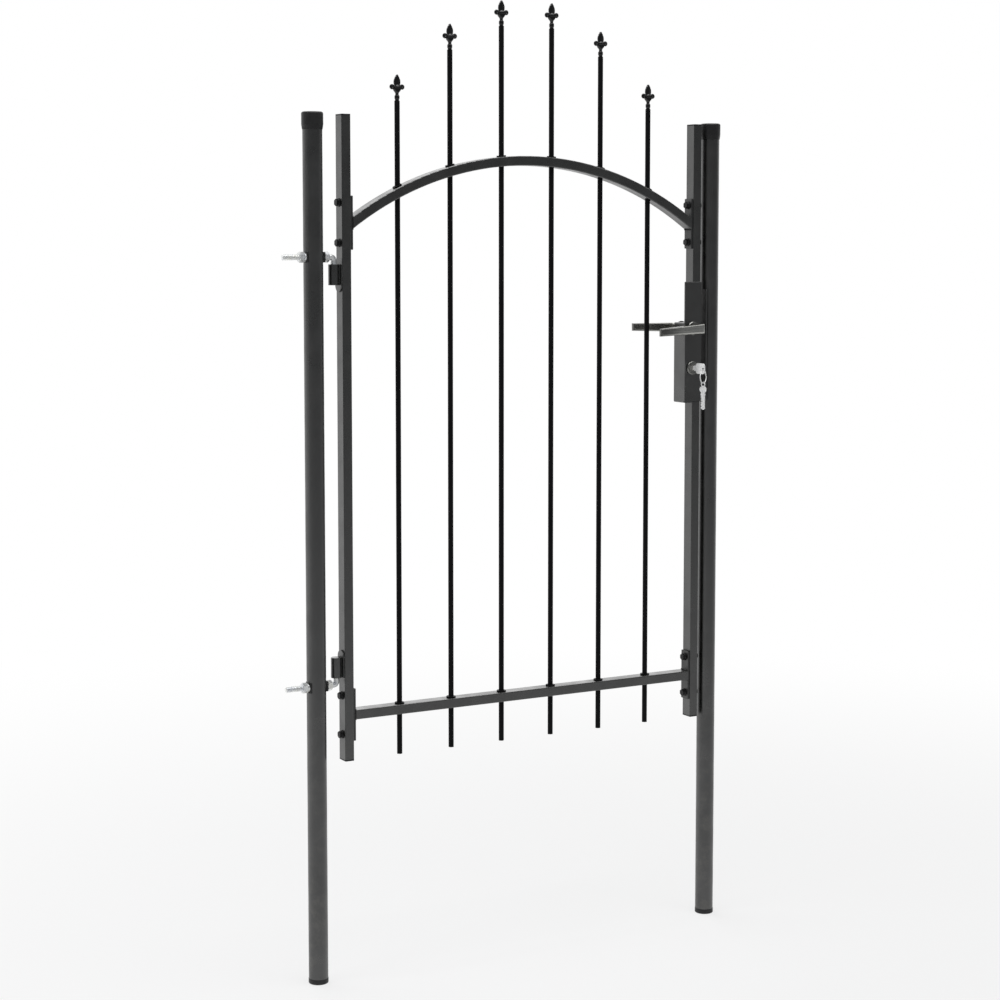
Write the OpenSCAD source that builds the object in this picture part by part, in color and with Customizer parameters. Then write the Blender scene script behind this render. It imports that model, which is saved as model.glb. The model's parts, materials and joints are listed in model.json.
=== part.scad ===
// Steel garden gate with its two posts, each of two lengths: a leaf of round
// bars between an arched top rail and a straight bottom rail, spear finials on the bars,
// two adjustable hook and barrel hinges, a lever lock and its keys.
// Millimetres. The origin is the middle of the hinge post's foot, on the
// ground. +X runs to the latch post, -Y is the front, +Z is up.

/* [Posts] */
// Height of the posts to the top of their caps
post_h = 1780; // [1400:10:2200]
// Distance between the centres of the two posts
post_pitch = 963; // [780:1:1200]
// Outside diameter of the posts
post_d = 40; // [34:0.5:60]
// Wall of the posts
post_wall = 2; // [1.5:0.5:4]
// Height of the joint between the two lengths of a post
post_joint = 973; // [700:1:1100]
// Reach of the lower length's reduced end into the upper length
post_neck = 60; // [30:5:120]
// Wall of the caps pushed over the post tops
cap_wall = 2; // [1:0.5:4]
// Height of the straight part of a cap
cap_h = 25; // [15:1:40]
// Height of the tapered skirt under it
cap_skirt = 10; // [5:1:20]
// Height of the plug head under a post
foot_h = 11; // [5:1:20]
// How far the plug head stands out past the post
foot_lip = 0.5; // [0.5:0.5:4]
// Depth of the plug inside the post
foot_depth = 24; // [10:1:60]

/* [Leaf] */
// Ground to the underside of the stiles
leaf_lift = 459; // [200:1:600]
// How far the stiles stay below the top of the caps
head_drop = 3; // [0:1:60]
// Free space between the hinge post and the leaf
hinge_gap = 37.5; // [30:0.5:60]
// Free space between the leaf and the latch post
latch_gap = 13; // [12:0.5:25]
// Stile and rail width across the face of the gate
tube_w = 20; // [16:1:40]
// Stile and rail depth from front to back
tube_t = 30; // [24:1:50]
// Wall of the stiles and rails
tube_wall = 1.5; // [1:0.5:3]
// Outside corner radius of the stiles and rails
tube_r = 2; // [2:0.5:6]
// Thickness of the closing plugs of the stiles
plug_t = 3; // [2:0.5:6]
// Depth of the plugs inside the stiles
plug_depth = 12; // [6:1:30]
// Stile underside to the middle of the bottom rail
rail_inset = 95; // [60:1:200]
// Stile top to the middle of the arched rail's ends
arch_inset = 217; // [150:1:400]
// Rise of the arched rail from its ends to its middle
arch_rise = 130.6; // [60:0.1:220]

/* [Bars and finials] */
// Number of upright bars
bars = 6; // [3:1:9]
// Diameter of the bars
bar_d = 11; // [8:0.5:16]
// How far the bars reach below the stiles' underside
bar_low = 1; // [0:0.5:20]
// Height of the finial curve over the middle of the arched rail
crown_rise = 337.4; // [250:0.1:450]
// Drop of the finial curve at the outer bars
crown_drop = 168; // [0:1:250]
// Outside diameter of the collars round the bars on the rails
ring_d = 20; // [14:0.5:30]
// Thickness of these collars
ring_t = 3; // [2:0.5:6]
// Diameter of the ring at the foot of a finial
foot_ring_d = 10.6; // [9:0.1:16]
// Diameter of the peg that holds a finial in its bar
peg_d = 6; // [4:0.5:7]
// Length of this peg
peg_l = 9; // [6:0.5:14]
// Height of a finial
finial_h = 53; // [46:0.5:62]
// Width of the spear of a finial
spear_w = 14.6; // [12:0.2:24]
// Thickness of the spear at its mid rib
spear_t = 8; // [6:0.5:12]
// Middle of a scroll's eye from the bar's axis
scroll_x = 11.4; // [10:0.1:18]
// Radius of a scroll's middle line
scroll_r = 3.4; // [3:0.1:6]
// Diameter of the rod a scroll is rolled from
scroll_d = 4.2; // [3:0.1:6]

/* [End plates] */
// Thickness of the plates on the rail ends
end_t = 5; // [3:0.5:8]
// Width of the plates from front to back
end_w = 25.5; // [20:0.5:40]
// Height of the plates
end_h = 109; // [90:1:160]
// Distance between the two bolts of a plate
end_bolt_pitch = 81; // [60:1:120]
// Diameter of the plate bolts
end_bolt_d = 8; // [6:1:10]
// Width across flats of their heads and nuts
end_bolt_af = 13; // [10:1:17]

/* [Hinges] */
// Stile top to the upper hook's bolt
upper_hook_inset = 286; // [200:1:500]
// Stile underside to the lower hook's bolt
lower_hook_inset = 159.5; // [120:1:400]
// Diameter of the hook bolts and their pins
hook_d = 12; // [10:0.5:16]
// Length of the hook's thread past the outside of the post
hook_tail = 48; // [30:1:80]
// Space left at the inside of the hook's bend
bend_inner = 1; // [0.5:0.5:6]
// Outside diameter of the barrels
barrel_d = 22; // [20:0.5:30]
// Height of the barrels
barrel_h = 42; // [30:1:60]
// Hook bolt axis to the near end of the barrel
barrel_drop = 14.5; // [12:0.5:30]
// Thickness of the closed end of a barrel
barrel_floor = 4; // [2:0.5:8]
// Depth of the flat where a barrel is welded on
barrel_flat = 1.3; // [0.3:0.1:3]
// Thickness of the tabs between the stile and the barrels
tab_t = 3; // [2:0.5:6]
// Running clearance between pin and barrel
pin_play = 0.05; // [0.02:0.01:0.1]
// Width across flats of the hook nuts
hook_af = 19; // [18:1:24]
// Height of the hook nuts
hook_nut_h = 10; // [6:0.5:14]
// Space between the inner nut and the bend
nut_clear = 5; // [0.5:0.1:7]
// Thickness of the thin pad under the outer washer
pad_t = 1.2; // [1:0.1:4]
// Thickness of the outer washer at its middle
washer_t = 1; // [0.5:0.1:4]
// Width of the pads from front to back
pad_w = 20; // [18:0.5:30]
// Height of the pads
pad_h = 21; // [14:0.5:28]

/* [Lock] */
// Arched rail's end to the lever spindle
handle_drop = 229.5; // [190:0.5:400]
// Lever spindle to the key
key_drop = 87.5; // [70:0.5:120]
// Leaf's edge to the spindle and the key
backset = 23; // [20:0.5:40]
// Width of the front plate
plate_w = 44; // [38:0.5:60]
// Height of the front plate
plate_h = 264; // [240:1:320]
// Thickness of the front plate
plate_t = 3; // [2:0.5:5]
// Reach of the front plate above the spindle
plate_up = 102.5; // [60:0.5:150]
// How far the front plate passes the leaf's edge
plate_edge = 1; // [0:0.5:3]
// Width of the lock case beside the stile
case_w = 23; // [18:0.5:40]
// Height of the lock case
case_h = 177; // [150:1:220]
// Reach of the lock case above the spindle
case_up = 12.5; // [10:0.5:40]
// How far the case stands behind the stile
case_back = 9; // [3:0.5:12]
// Corner radius of the lock case
case_r = 3; // [1:0.5:8]
// Diameter of the lever roses and of the key roses
rose_d = 30; // [26:0.5:40]
// Thickness of the lever roses
rose_t = 6; // [4:0.5:10]
// Thickness of the key roses
key_rose_t = 4; // [2:0.5:8]
// Diameter of a lever's turning neck
neck_d = 16; // [12:0.5:20]
// Width of a lever's flat shank between neck and grip
neck_w = 13; // [10:0.5:18]
// Spindle to the tip of a lever
lever_l = 108; // [90:1:140]
// Rose to the middle of the grip
lever_out = 28; // [20:0.5:40]
// Thickness of the grip
grip_t = 12; // [8:0.5:16]
// Height of the grip at the spindle
grip_h = 21; // [16:0.5:26]
// Height of the grip at its tip
grip_tip_h = 16.5; // [12:0.5:22]
// How far the middle of the grip falls from the spindle to the tip
grip_fall = 4.3; // [0:0.1:8]
// Turn of both handles below the level at rest, in degrees
handle_sag = 1.1; // [0:0.1:3]
// Width of the square spindle
spindle_w = 8; // [6:0.5:10]
// Diameter of the turning plug the key goes into
key_plug_d = 14; // [12:0.5:17]
// Thickness of the keys
key_t = 2.4; // [1.8:0.1:3]
// Height of the key blade
key_blade_h = 8; // [6:0.5:10]
// Length of the blade inside the plug
key_in = 26; // [15:1:30]
// Length of the blade in front of the key rose
key_out = 11; // [6:0.5:20]
// Length of the key's bow
bow_l = 34; // [24:0.5:40]
// Height of the key's bow
bow_h = 23.5; // [18:0.5:30]
// Diameter of the holes for the key ring
bow_hole_d = 7; // [6:0.5:9]
// Radius of the key ring to the middle of its wire
ring_r = 15; // [12:0.5:20]
// Diameter of the key ring's wire
ring_wire_d = 2.4; // [1.5:0.1:2.6]
// Free height of the ring's wire over the edge of the bow's hole
ring_play = 0.6; // [0.3:0.1:1.5]
// Turn of the key ring away from the front
ring_turn = 30; // [15:5:60]
// Width of the spare key's bow
spare_w = 16; // [14:0.5:26]
// Length of the spare key from its hole to its tip
spare_l = 56; // [50:1:80]

/* [Keeper] */
// Thickness of the keeper plate on the latch post
keeper_t = 3; // [2:0.5:5]
// Width of the keeper plate from front to back
keeper_w = 42; // [30:0.5:60]
// Height of the keeper plate
keeper_h = 245.5; // [200:0.5:300]
// Reach of the keeper plate above the spindle
keeper_up = 85; // [40:0.5:120]
// Width of the openings for the latch and the bolt
slot_w = 14; // [10:0.5:20]
// Height of the opening for the latch
latch_slot_h = 24; // [16:1:40]
// Height of the opening for the bolt
bolt_slot_h = 34; // [24:1:50]

/* [Hidden] */
$fn = 64;
eps = 0.01;
fit = 0.1;
bolt_clear = 0.2;
seat = 0.3;
weld_flat = 0.3;
end_nut_h = 0.8 * end_bolt_d;
post_r = post_d / 2;
foot_d = post_d + 2 * foot_lip;
cap_d = post_d + 2 * cap_wall;
post_top = post_h - 3;

// Leaf
hinge_face = post_r + hinge_gap;
latch_face = post_pitch - post_r - latch_gap;
hinge_stile_x = hinge_face + tube_w / 2;
latch_stile_x = latch_face - tube_w / 2;
stile_top = post_h - head_drop;
stile_h = stile_top - leaf_lift;
rail_x0 = hinge_face + tube_w + end_t;
rail_x1 = latch_face - tube_w - end_t;
rail_z = leaf_lift + rail_inset;
mid_x = (rail_x0 + rail_x1) / 2;
arch_end_z = stile_top - arch_inset;
arch_half = (rail_x1 - rail_x0) / 2;
arch_rad = (arch_half * arch_half + arch_rise * arch_rise) / (2 * arch_rise);
arch_cz = arch_end_z + arch_rise - arch_rad;
arch_angle = asin(arch_half / arch_rad);
bar_pitch = (latch_stile_x - hinge_stile_x) / (bars + 1);
bar_z0 = leaf_lift - bar_low;
crown_z = arch_end_z + arch_rise + crown_rise;
outer_dx = bar_pitch * (bars - 1) / 2;

function bar_x(i) = hinge_stile_x + bar_pitch * (i + 1);
function crown_at(x) = crown_z - crown_drop * pow((x - mid_x) / outer_dx, 2);
function finial_z(i) = crown_at(bar_x(i)) - finial_h;
function arch_top_at(x) = arch_cz + sqrt(pow(arch_rad + tube_w / 2, 2) - pow(x - mid_x, 2));
function arch_lean(x) = asin((x - mid_x) / (arch_rad + tube_w / 2));

// Hinges
hinge_x = hinge_face - tab_t - barrel_d / 2 + barrel_flat;
tab_w = tube_t - 2;
bend_r = hook_d / 2 + bend_inner;
upper_hook_z = stile_top - upper_hook_inset;
lower_hook_z = leaf_lift + lower_hook_inset;
inner_nut_x = hinge_x - bend_r - nut_clear - hook_nut_h;
outer_nut_x = -post_r - pad_t - washer_t;
pin_l = barrel_drop + barrel_h - barrel_floor - seat;

// Lock
handle_z = arch_end_z - handle_drop;
key_z = handle_z - key_drop;
lock_x = latch_face - backset;
front_y = -tube_t / 2 - plate_t;
back_y = tube_t / 2 + case_back;
plate_z0 = handle_z + plate_up - plate_h;
case_x0 = latch_face - tube_w - case_w;
case_z0 = handle_z + case_up - case_h;
rose_y0 = front_y - rose_t;
rose_y1 = back_y + rose_t;
key_rose_y0 = front_y - key_rose_t;
key_rose_y1 = back_y + key_rose_t;
bow_y0 = key_rose_y0 - key_out - bow_l;
bow_hole_y = bow_y0 + bow_hole_d / 2 + 3;
ring_z = key_z - bow_hole_d / 2 + ring_wire_d / 2 + ring_play - ring_r;
spare_z = ring_z - ring_r - bow_hole_d / 2 + ring_wire_d / 2 + seat;
keeper_z0 = handle_z + keeper_up - keeper_h;
keeper_x0 = post_pitch - post_r - keeper_t;

// Rectangle with round corners, centred
module round_rect(w, h, r) {
  square([w - 2 * r, h], center = true);
  square([w, h - 2 * r], center = true);
  for (x = [-1, 1]) for (y = [-1, 1])
    translate([x * (w / 2 - r), y * (h / 2 - r)]) circle(r);
}

// Section of the stiles and rails, first size across the face
module tube_section() {
  $fn = 64;
  difference() {
    round_rect(tube_w, tube_t, tube_r);
    round_rect(tube_w - 2 * tube_wall, tube_t - 2 * tube_wall, max(tube_r - tube_wall, 0.5));
  }
}

// Round bar along +X, starting at the origin
module rod_x(d, l) {
  rotate([0, 90, 0]) cylinder(d = d, h = l);
}

// Hexagon along +X with two corners upright
module hex_x(af, l) {
  rotate([0, 90, 0]) cylinder(d = af / cos(30), h = l, $fn = 6);
}

// Rounded block along Y between two depths
module block_y(x0, x1, z0, z1, y0, y1, r) {
  translate([(x0 + x1) / 2, y1, (z0 + z1) / 2]) rotate([90, 0, 0])
    linear_extrude(y1 - y0) round_rect(x1 - x0, z1 - z0, r);
}

// Lower length of a post, its top end reduced to go into the upper length
module lower_tube(x) {
  in = post_r - post_wall;
  neck = in - fit;
  top = post_joint + post_neck;
  translate([x, 0, 0]) rotate_extrude() polygon([[in, foot_h], [post_r, foot_h],
    [post_r, post_joint], [neck, post_joint], [neck, top - 2], [neck - 1, top], [neck - post_wall, top],
    [neck - post_wall, post_joint - 3], [in, post_joint - 12]]);
}

module upper_tube(x) {
  translate([x, 0, post_joint]) difference() {
    cylinder(d = post_d, h = post_top - post_joint);
    translate([0, 0, -1]) cylinder(d = post_d - 2 * post_wall, h = post_top - post_joint + 2);
  }
}

// Hole for a hook bolt across the hinge post
module hook_hole(z) {
  translate([-post_d, 0, z]) rod_x(hook_d + 2 * bolt_clear, 2 * post_d);
}

module hinge_post_lower() {
  color("#4a4b4a") difference() {
    lower_tube(0);
    hook_hole(lower_hook_z);
  }
}

module hinge_post_upper() {
  color("#4a4b4a") difference() {
    upper_tube(0);
    hook_hole(upper_hook_z);
  }
}

module latch_post_lower() {
  color("#4a4b4a") lower_tube(post_pitch);
}

module latch_post_upper() {
  color("#4a4b4a") difference() {
    upper_tube(post_pitch);
    keeper_slots(post_r);
  }
}

// Cap that fits over a post top, with a softly rounded upper edge
module cap(x) {
  top_r = 4;
  r = cap_d / 2;
  color("#111213") translate([x, 0, 0]) rotate_extrude() difference() {
    union() {
      translate([0, post_h - cap_h]) square([r, cap_h - top_r]);
      translate([0, post_h - top_r]) square([r - top_r, top_r]);
      translate([r - top_r, post_h - top_r]) intersection() {
        circle(top_r);
        square(top_r);
      }
      polygon([[0, post_h - cap_h - cap_skirt], [post_r + 0.6, post_h - cap_h - cap_skirt],
        [r, post_h - cap_h], [0, post_h - cap_h]]);
    }
    translate([0, post_h - cap_h - cap_skirt - 1])
      square([post_r + fit, post_top - (post_h - cap_h - cap_skirt - 1)]);
  }
}

// Plug under a post: a head that stands on the ground and a spigot
module foot(x) {
  r = foot_d / 2;
  inner = post_r - post_wall - fit;
  color("#111213") translate([x, 0, 0]) rotate_extrude()
    polygon([[0, 0], [r - 1.5, 0], [r, 1.5], [r, foot_h], [inner, foot_h],
      [inner, foot_h + foot_depth - 2], [inner - 2, foot_h + foot_depth], [0, foot_h + foot_depth]]);
}

// Openings for the latch and the bolt, cut from the leaf's side
module keeper_slots(depth) {
  y = slot_w / 2;
  for (s = [[handle_z, latch_slot_h], [key_z, bolt_slot_h]])
    translate([keeper_x0 - 1, -y, s[0] - s[1] / 2]) cube([keeper_t + 1 + depth, slot_w, s[1]]);
}

module keeper_plate() {
  color("#4a4b4a") difference() {
    translate([keeper_x0 + (keeper_t + weld_flat) / 2, -1, keeper_z0 + keeper_h / 2])
      rotate([0, 90, 0]) translate([0, 0, -(keeper_t + weld_flat) / 2])
        linear_extrude(keeper_t + weld_flat) round_rect(keeper_h, keeper_w, 2);
    translate([post_pitch, 0, 0]) cylinder(r = post_r, h = post_h);
    keeper_slots(0.5);
  }
}

// Hook bolt at height z; up is 1 when its pin points up, -1 when down
module hook(z, up) {
  x0 = -post_r - hook_tail;
  x1 = hinge_x - bend_r;
  color("#c9ccd0") translate([0, 0, z]) mirror([0, 0, up > 0 ? 0 : 1]) {
    translate([x0, 0, 0]) rotate([0, 90, 0]) rotate_extrude()
      polygon([[0, 0], [hook_d / 2 - 1.5, 0], [hook_d / 2, 1.5], [hook_d / 2, x1 - x0], [0, x1 - x0]]);
    translate([x1, 0, bend_r]) rotate([90, 0, 0]) rotate([0, 0, -90])
      rotate_extrude(angle = 90) translate([bend_r, 0]) circle(d = hook_d);
    translate([hinge_x, 0, bend_r]) rotate_extrude()
      polygon([[0, 0], [hook_d / 2, 0], [hook_d / 2, pin_l - bend_r - 1], [hook_d / 2 - 1, pin_l - bend_r],
        [0, pin_l - bend_r]]);
  }
}

module hook_nuts() {
  color("#c9ccd0") for (z = [upper_hook_z, lower_hook_z]) {
    for (x = [outer_nut_x - hook_nut_h, inner_nut_x]) translate([x, 0, z]) difference() {
      intersection() {
        hex_x(hook_af, hook_nut_h);
        rotate([0, 90, 0]) rotate_extrude() polygon([[0, 0], [hook_af / 2, 0], [hook_af / 2 + 1.6, 1],
          [hook_af / 2 + 1.6, hook_nut_h - 1], [hook_af / 2, hook_nut_h], [0, hook_nut_h]]);
      }
      translate([-1, 0, 0]) rod_x(hook_d + fit, hook_nut_h + 2);
    }
  }
}

// Round washers, hollowed to sit on the thin pads
module hook_washers() {
  color("#c9ccd0") for (z = [upper_hook_z, lower_hook_z]) difference() {
    translate([outer_nut_x, 0, z]) rod_x(hook_af + 1.5, pad_t + washer_t + post_r / 2);
    translate([0, 0, z - pad_h]) cylinder(r = post_r + pad_t, h = 2 * pad_h);
    translate([outer_nut_x - 1, 0, z]) rod_x(hook_d + 2 * fit, post_r);
  }
}

// Thin pads on the outside of the post, bent round it
module outer_pads() {
  color("#161718") for (z = [upper_hook_z, lower_hook_z]) difference() {
    intersection() {
      translate([0, 0, z - pad_h / 2]) cylinder(r = post_r + pad_t, h = pad_h);
      translate([-post_r - pad_t, -pad_w / 2 - 3, z - pad_h]) cube([post_r, pad_w + 6, 2 * pad_h]);
    }
    translate([0, 0, z - pad_h]) cylinder(r = post_r, h = 2 * pad_h);
    translate([-2 * post_r, 0, z]) rod_x(hook_d + 2 * fit, 2 * post_r);
  }
}

// Saddle pads between the post and the inner nuts
module inner_pads() {
  color("#161718") for (z = [upper_hook_z, lower_hook_z]) difference() {
    translate([inner_nut_x, 0, z]) rotate([0, -90, 0])
      linear_extrude(inner_nut_x - post_r / 2) round_rect(pad_h, pad_w, 3);
    translate([0, 0, z - pad_h]) cylinder(r = post_r, h = 2 * pad_h);
    translate([0, 0, z]) rod_x(hook_d + 2 * fit, post_d + hinge_gap);
  }
}

// Bolt places of an end plate at height z
module at_bolts(z) {
  for (s = [-1, 1]) translate([0, 0, z + s * end_bolt_pitch / 2]) children();
}

module stile_tube(x) {
  translate([x, 0, leaf_lift + plug_t]) linear_extrude(stile_h - 2 * plug_t) tube_section();
}

module hinge_stile() {
  color("#56584f") difference() {
    stile_tube(hinge_stile_x);
    for (z = [arch_end_z, rail_z]) at_bolts(z)
      translate([hinge_face - 1, 0, 0]) rod_x(end_bolt_d + 2 * bolt_clear, tube_w + 2);
  }
}

module latch_stile() {
  color("#56584f") difference() {
    stile_tube(latch_stile_x);
    for (z = [arch_end_z, rail_z]) at_bolts(z)
      translate([latch_face - tube_w - 1, 0, 0]) rod_x(end_bolt_d + 2 * bolt_clear, tube_w + 2);
    translate([lock_x, tube_t, handle_z]) rotate([90, 0, 0])
      cylinder(d = spindle_w * sqrt(2) + 1, h = 2 * tube_t);
    translate([lock_x, tube_t, key_z]) rotate([90, 0, 0]) cylinder(d = key_plug_d + 1, h = 2 * tube_t);
  }
}

module stile_plugs() {
  color("#1a1b1a") for (x = [hinge_stile_x, latch_stile_x]) for (up = [0, 1])
    translate([x, 0, up ? stile_top : leaf_lift]) mirror([0, 0, up]) {
      linear_extrude(plug_t) round_rect(tube_w, tube_t, tube_r);
      translate([0, 0, plug_t - eps]) linear_extrude(plug_depth + eps)
        round_rect(tube_w - 2 * tube_wall - 2 * fit, tube_t - 2 * tube_wall - 2 * fit,
          max(tube_r - tube_wall, 0.5));
    }
}

// Upright holes for the bars through both rails
module bar_holes() {
  for (i = [0 : bars - 1])
    translate([bar_x(i), 0, leaf_lift]) cylinder(d = bar_d + 2 * fit, h = crown_z - leaf_lift);
}

module arch_rail() {
  color("#6b6d64") difference() {
    intersection() {
      translate([mid_x, 0, arch_cz]) rotate([90, 0, 0]) rotate([0, 0, 90 - arch_angle - 4])
        rotate_extrude(angle = 2 * arch_angle + 8, $fn = 256) translate([arch_rad, 0]) tube_section();
      translate([rail_x0, -tube_t, arch_end_z - arch_rise])
        cube([rail_x1 - rail_x0, 2 * tube_t, 3 * arch_rise]);
    }
    bar_holes();
  }
}

module bottom_rail() {
  color("#6b6d64") difference() {
    translate([rail_x0, 0, rail_z]) rotate([0, 90, 0]) linear_extrude(rail_x1 - rail_x0) tube_section();
    bar_holes();
  }
}

module bars_upright() {
  color("#26272a") for (i = [0 : bars - 1]) translate([bar_x(i), 0, 0]) difference() {
    translate([0, 0, bar_z0]) cylinder(d = bar_d, h = finial_z(i) - bar_z0);
    translate([0, 0, finial_z(i) - peg_l - 0.5]) cylinder(d = peg_d + 2 * fit, h = peg_l + 1);
  }
}

// Collars on the rails, leaning with the arch and cut to sit on it
module bar_collars() {
  color("#2e2f30") for (i = [0 : bars - 1]) {
    x = bar_x(i);
    translate([x, 0, rail_z + tube_w / 2]) difference() {
      cylinder(d = ring_d, h = ring_t);
      translate([0, 0, -1]) cylinder(d = bar_d + 2 * fit, h = ring_t + 2);
    }
    difference() {
      translate([x, 0, arch_top_at(x)]) rotate([0, arch_lean(x), 0])
        translate([0, 0, -0.5]) cylinder(d = ring_d, h = ring_t + 0.5);
      translate([mid_x, tube_t, arch_cz]) rotate([90, 0, 0])
        cylinder(r = arch_rad + tube_w / 2, h = 2 * tube_t, $fn = 360);
      translate([x, 0, arch_top_at(x) - ring_d]) cylinder(d = bar_d + 2 * fit, h = 2 * ring_d);
    }
  }
}

// Spear blade: a pointed oval with a blunt tip and a rib down its middle
module spear() {
  tip_r = 1.9;
  top = finial_h - tip_r;
  wide = finial_h - 15.5;
  off = 8.8 * spear_w / 16;
  r = spear_w / 2 + off;
  edge = spear_t / 6;
  intersection() {
    rotate([90, 0, 0]) translate([0, 0, -spear_t]) linear_extrude(2 * spear_t) {
      intersection() {
        translate([-off, wide]) circle(r);
        translate([off, wide]) circle(r);
      }
      translate([0, top]) circle(tip_r);
    }
    linear_extrude(finial_h + 1) polygon([[-spear_w / 2 - 1, -edge], [0, -spear_t / 2],
      [spear_w / 2 + 1, -edge], [spear_w / 2 + 1, edge], [0, spear_t / 2], [-spear_w / 2 - 1, edge]]);
  }
}

// Scroll on one side: a stem that leaves the body and rolls round its eye
module scroll() {
  z = finial_h - 25;
  translate([scroll_x, 0, z]) rotate([90, 0, 0]) {
    rotate([0, 0, -150]) rotate_extrude(angle = 330) translate([scroll_r, 0]) circle(d = scroll_d);
    sphere(d = scroll_d * 0.9);
  }
  translate([scroll_x - scroll_r * 0.9, 0, z - scroll_r * 0.5]) sphere(d = scroll_d);
}

// Peg, foot ring, neck, flat cup, cross band, spear and two scrolls
module finial() {
  c = finial_h - 25;
  r = foot_ring_d / 2;
  translate([0, 0, -peg_l]) cylinder(d = peg_d, h = peg_l + 1);
  intersection() {
    rotate_extrude() polygon([[0, 0], [r - 0.9, 0], [r - 0.9, 2.8], [r - 0.3, 3.8], [r, 5.2], [r, 9.4],
      [r - 0.4, 10.6], [r - 1.6, 11.6], [3.6, 12.4], [3.5, 14.4], [4.4, c - 11.4], [6.6, c - 8.8],
      [8.2, c - 6], [8.4, c - 3.6], [6.8, c], [4, c + 4], [0, c + 6]]);
    translate([-15, -5.2, -1]) cube([30, 10.4, finial_h]);
  }
  translate([0, 0, c - 0.6]) rotate([90, 0, 0]) translate([0, 0, -6])
    linear_extrude(12) round_rect(16, 3.4, 1.6);
  spear();
  for (s = [0, 1]) mirror([s, 0, 0]) scroll();
}

module finials() {
  color("#26272a") for (i = [0 : bars - 1]) translate([bar_x(i), 0, finial_z(i)]) finial();
}

// Plates on both ends of a rail, on the stile's inner face
module end_plates(x) {
  color("#3c3d3e") for (z = [arch_end_z, rail_z]) difference() {
    translate([x, 0, z]) rotate([0, 90, 0]) linear_extrude(end_t) round_rect(end_h, end_w, 2);
    at_bolts(z) translate([x - 1, 0, 0]) rod_x(end_bolt_d + 2 * bolt_clear, end_t + 2);
  }
}

module hinge_end_plates() {
  end_plates(hinge_face + tube_w);
}

module latch_end_plates() {
  end_plates(latch_face - tube_w - end_t);
}

// Flange bolts through plate and stile, heads on the side that faces the hinge post:
// threaded into the plates on the hinge side, held by nuts on the latch side
module plate_bolts() {
  head = end_bolt_d;
  flange = end_bolt_af + 4.5;
  l = tube_w + end_t;
  color("#1d1e1f") for (side = [0, 1]) for (z = [arch_end_z, rail_z]) at_bolts(z)
    translate([side ? rail_x1 : hinge_face, 0, 0]) {
      translate([-head, 0, 0]) hex_x(end_bolt_af, head);
      rotate([0, -90, 0]) rotate_extrude() polygon([[0, 0], [flange / 2, 0], [flange / 2, 1.2],
        [end_bolt_af / 2, 3.4], [0, 3.4]]);
      rod_x(end_bolt_d, side ? l + end_nut_h + 1 : l - 0.5);
    }
}

module plate_nuts() {
  color("#1d1e1f") for (z = [arch_end_z, rail_z]) at_bolts(z)
    translate([latch_face, 0, 0]) difference() {
      hex_x(end_bolt_af, end_nut_h);
      translate([-1, 0, 0]) rod_x(end_bolt_d + fit, end_nut_h + 2);
    }
}

// Barrel on the hinge axis: up is 1 when it sits over a hook that points up
module barrel(z, up) {
  color("#4a4b4a") translate([hinge_x, 0, z]) mirror([0, 0, up > 0 ? 0 : 1])
    translate([0, 0, barrel_drop]) difference() {
      cylinder(d = barrel_d, h = barrel_h);
      translate([0, 0, -1]) cylinder(d = hook_d + 2 * pin_play, h = barrel_h - barrel_floor + 1);
      translate([hinge_face - tab_t - hinge_x, -barrel_d, -1])
        cube([barrel_d, 2 * barrel_d, barrel_h + 2]);
    }
}

// Tab with a round end, welded to the stile; it carries a barrel
module hinge_tab(z, up) {
  color("#6b6d64") translate([hinge_face, 0, z]) mirror([0, 0, up > 0 ? 0 : 1])
    rotate([0, -90, 0]) linear_extrude(tab_t) {
      translate([barrel_drop, -tab_w / 2]) square([barrel_h, tab_w]);
      translate([barrel_drop + barrel_h, 0]) circle(d = tab_w);
    }
}

module hinge_tabs() {
  hinge_tab(upper_hook_z, -1);
  hinge_tab(lower_hook_z, 1);
}

// Passages for the spindle and the key plug, from front to back
module lock_bores(spindle_d, plug_d) {
  translate([lock_x, 3 * tube_t, handle_z]) rotate([90, 0, 0]) cylinder(d = spindle_d, h = 6 * tube_t);
  translate([lock_x, 3 * tube_t, key_z]) rotate([90, 0, 0]) cylinder(d = plug_d, h = 6 * tube_t);
}

// Lock case beside the stile, with a flange behind it
module lock_case() {
  color("#3a3b38") difference() {
    union() {
      block_y(case_x0, latch_face - tube_w, case_z0, case_z0 + case_h, -tube_t / 2, back_y, case_r);
      block_y(case_x0, latch_face, case_z0, case_z0 + case_h, tube_t / 2, back_y, case_r);
    }
    lock_bores(spindle_w * sqrt(2) + 1, key_plug_d + 2 * pin_play);
  }
}

module lock_plate() {
  x1 = latch_face + plate_edge;
  color("#3a3b38") difference() {
    block_y(x1 - plate_w, x1, plate_z0, plate_z0 + plate_h, front_y, -tube_t / 2, 1.5);
    lock_bores(neck_d + 2 * pin_play, key_plug_d + 2 * pin_play);
    translate([x1 - plate_w / 2, front_y, plate_z0 + plate_h]) rotate([45, 0, 0])
      cube([plate_w + 2, 2, 2], center = true);
  }
}

// Round rose with a chamfered front, its back on the plane y, facing -Y or +Y
module rose(y, z, t, bore, side) {
  translate([lock_x, y, z]) rotate([side * 90, 0, 0]) rotate_extrude()
    polygon([[bore / 2, 0], [rose_d / 2, 0], [rose_d / 2, t - 1.5], [rose_d / 2 - 1.5, t], [bore / 2, t]]);
}

module lever_roses() {
  color("#4b4c48") {
    rose(front_y, handle_z, rose_t, neck_d + 2 * pin_play, 1);
    rose(back_y, handle_z, rose_t, neck_d + 2 * pin_play, -1);
  }
}

module key_roses() {
  color("#4b4c48") {
    rose(front_y, key_z, key_rose_t, key_plug_d + 2 * pin_play, 1);
    rose(back_y, key_z, key_rose_t, key_plug_d + 2 * pin_play, -1);
  }
}

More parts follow.
